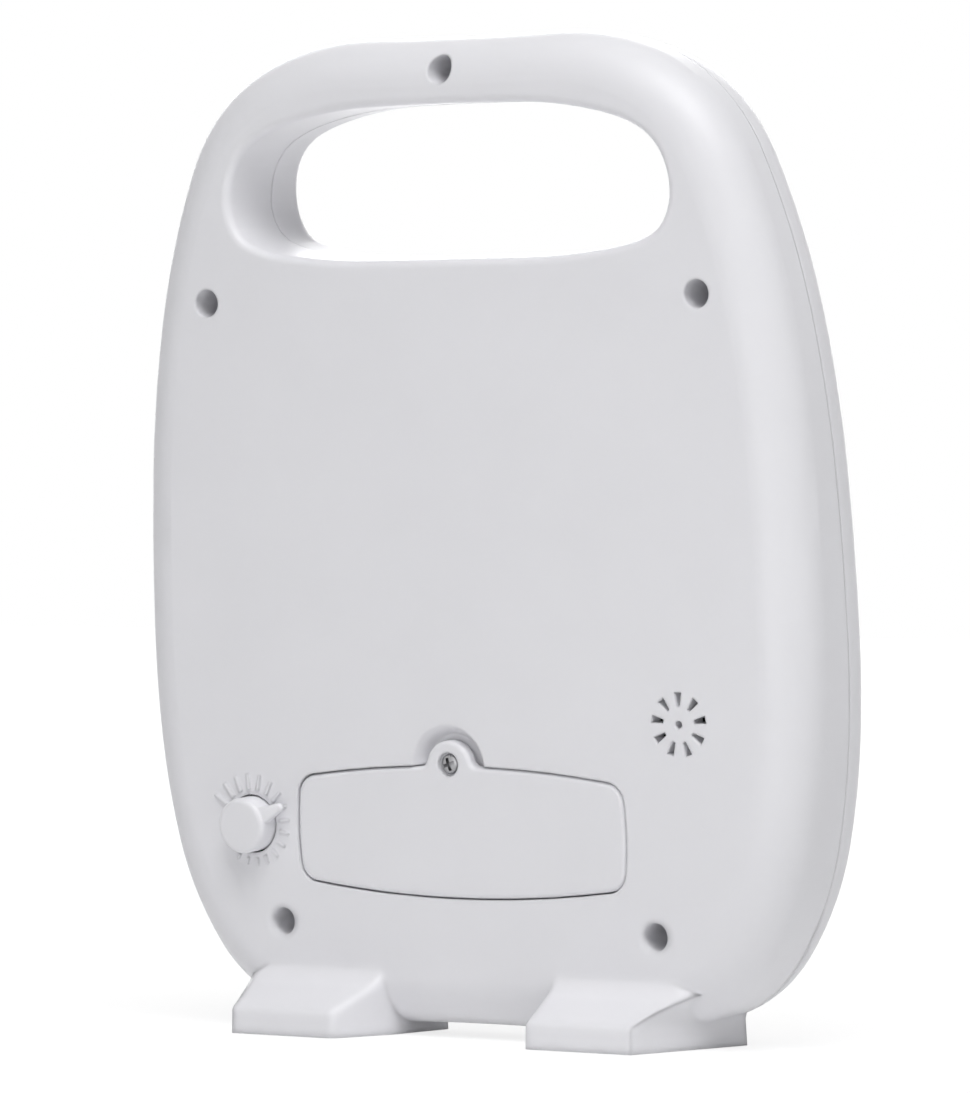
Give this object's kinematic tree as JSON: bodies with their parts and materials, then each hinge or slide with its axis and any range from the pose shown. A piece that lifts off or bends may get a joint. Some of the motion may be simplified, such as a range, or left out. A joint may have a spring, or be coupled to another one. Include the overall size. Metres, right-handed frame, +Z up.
{
  "type": "visual timer",
  "caption": "Free-standing visual countdown timer with a moulded handle opening, a disk that winds out of its dial, a quartz movement and a battery door at the back.",
  "frame": {"origin": "centre of the bounding box on the ground under the feet", "axes": "+Z up, -Y towards the front with the dial, +X to the right seen from the front"},
  "size_m": [0.1432, 0.0492, 0.1783],
  "materials": {
    "shell_white": "satin",
    "knob_white": "satin",
    "clear_lens": "polished",
    "dial_white": "matt",
    "disk_red": "matt",
    "inner_black": "matt",
    "gear_plastic": "satin",
    "brass": "turned",
    "spring_steel": "plain",
    "screw_steel": "zinc plated",
    "copper": "enamelled wire",
    "board_green": "solder mask",
    "cell_wrap": "satin",
    "cone_paper": "matt"
  },
  "bodies": {
    "case": {"front_shell": "shell_white", "rear_shell": "shell_white", "housing_screws": "screw_steel", "lens": "clear_lens", "dial_plate": "dial_white", "dial_screws": "screw_steel", "chassis_plate": "inner_black", "movement_base": "inner_black", "movement_cover": "inner_black", "movement_screws": "screw_steel", "movement_board": "board_green", "stator": "spring_steel", "coil": "copper", "battery_cell": "cell_wrap", "positive_contact": "spring_steel", "negative_contact": "spring_steel", "speaker_frame": "inner_black", "speaker_cone": "cone_paper", "volume_pot": "inner_black", "volume_board": "board_green", "alarm_board": "board_green", "board_parts": "inner_black", "board_screws": "screw_steel"},
    "setting_knob": {"setting_knob": "knob_white", "centre_shaft": "brass", "clutch_spring": "spring_steel"},
    "disk": {"time_disk": "disk_red"},
    "centre_wheel": {"centre_wheel": "gear_plastic"},
    "third_wheel": {"third_wheel": "gear_plastic"},
    "second_wheel": {"second_wheel": "gear_plastic"},
    "rotor": {"rotor": "gear_plastic"},
    "battery_door": {"battery_door": "shell_white", "door_screw": "screw_steel"},
    "volume_knob": {"volume_knob": "knob_white"}
  },
  "joints": [
    {"name": "setting_turn", "type": "hinge", "parent": "case", "child": "setting_knob", "pos_m": [0, -0.0111, 0.07024], "axis": [0, -0.9952, 0.0976], "range_deg": [-120, 240]},
    {"name": "disk_advance", "type": "slide", "parent": "setting_knob", "child": "disk", "axis": [0, -0.9952, 0.0976], "range_m": [-0.00051, 0.00101]},
    {"name": "rotor_spin", "type": "hinge", "parent": "case", "child": "rotor", "pos_m": [-0.01462, 0.00842, 0.07463], "axis": [0, -0.9952, 0.0976], "continuous": true},
    {"name": "second_wheel_spin", "type": "hinge", "parent": "case", "child": "second_wheel", "pos_m": [-0.00479, 0.00909, 0.08148], "axis": [0, -0.9952, 0.0976], "continuous": true},
    {"name": "third_wheel_spin", "type": "hinge", "parent": "case", "child": "third_wheel", "pos_m": [0.009, 0.00886, 0.07906], "axis": [0, -0.9952, 0.0976], "continuous": true},
    {"name": "centre_wheel_spin", "type": "hinge", "parent": "case", "child": "centre_wheel", "pos_m": [0, 0.00781, 0.06839], "axis": [0, -0.9952, 0.0976], "continuous": true},
    {"name": "battery_door_swing", "type": "hinge", "parent": "case", "child": "battery_door", "pos_m": [0, 0.01322, 0.02515], "axis": [-1, 0, 0], "range_deg": [0, 60]},
    {"name": "volume_turn", "type": "hinge", "parent": "case", "child": "volume_knob", "pos_m": [0.0465, 0.01379, 0.03716], "axis": [0, -0.9952, 0.0976], "range_deg": [0, 270]}
  ],
  "couplings": [
    {"joint": "disk_advance", "follows": "setting_turn", "m_per_rad": 0.00023873},
    {"joint": "second_wheel_spin", "follows": "rotor_spin", "ratio": -0.2},
    {"joint": "third_wheel_spin", "follows": "rotor_spin", "ratio": 0.033333},
    {"joint": "centre_wheel_spin", "follows": "rotor_spin", "ratio": -0.0055556}
  ]
}
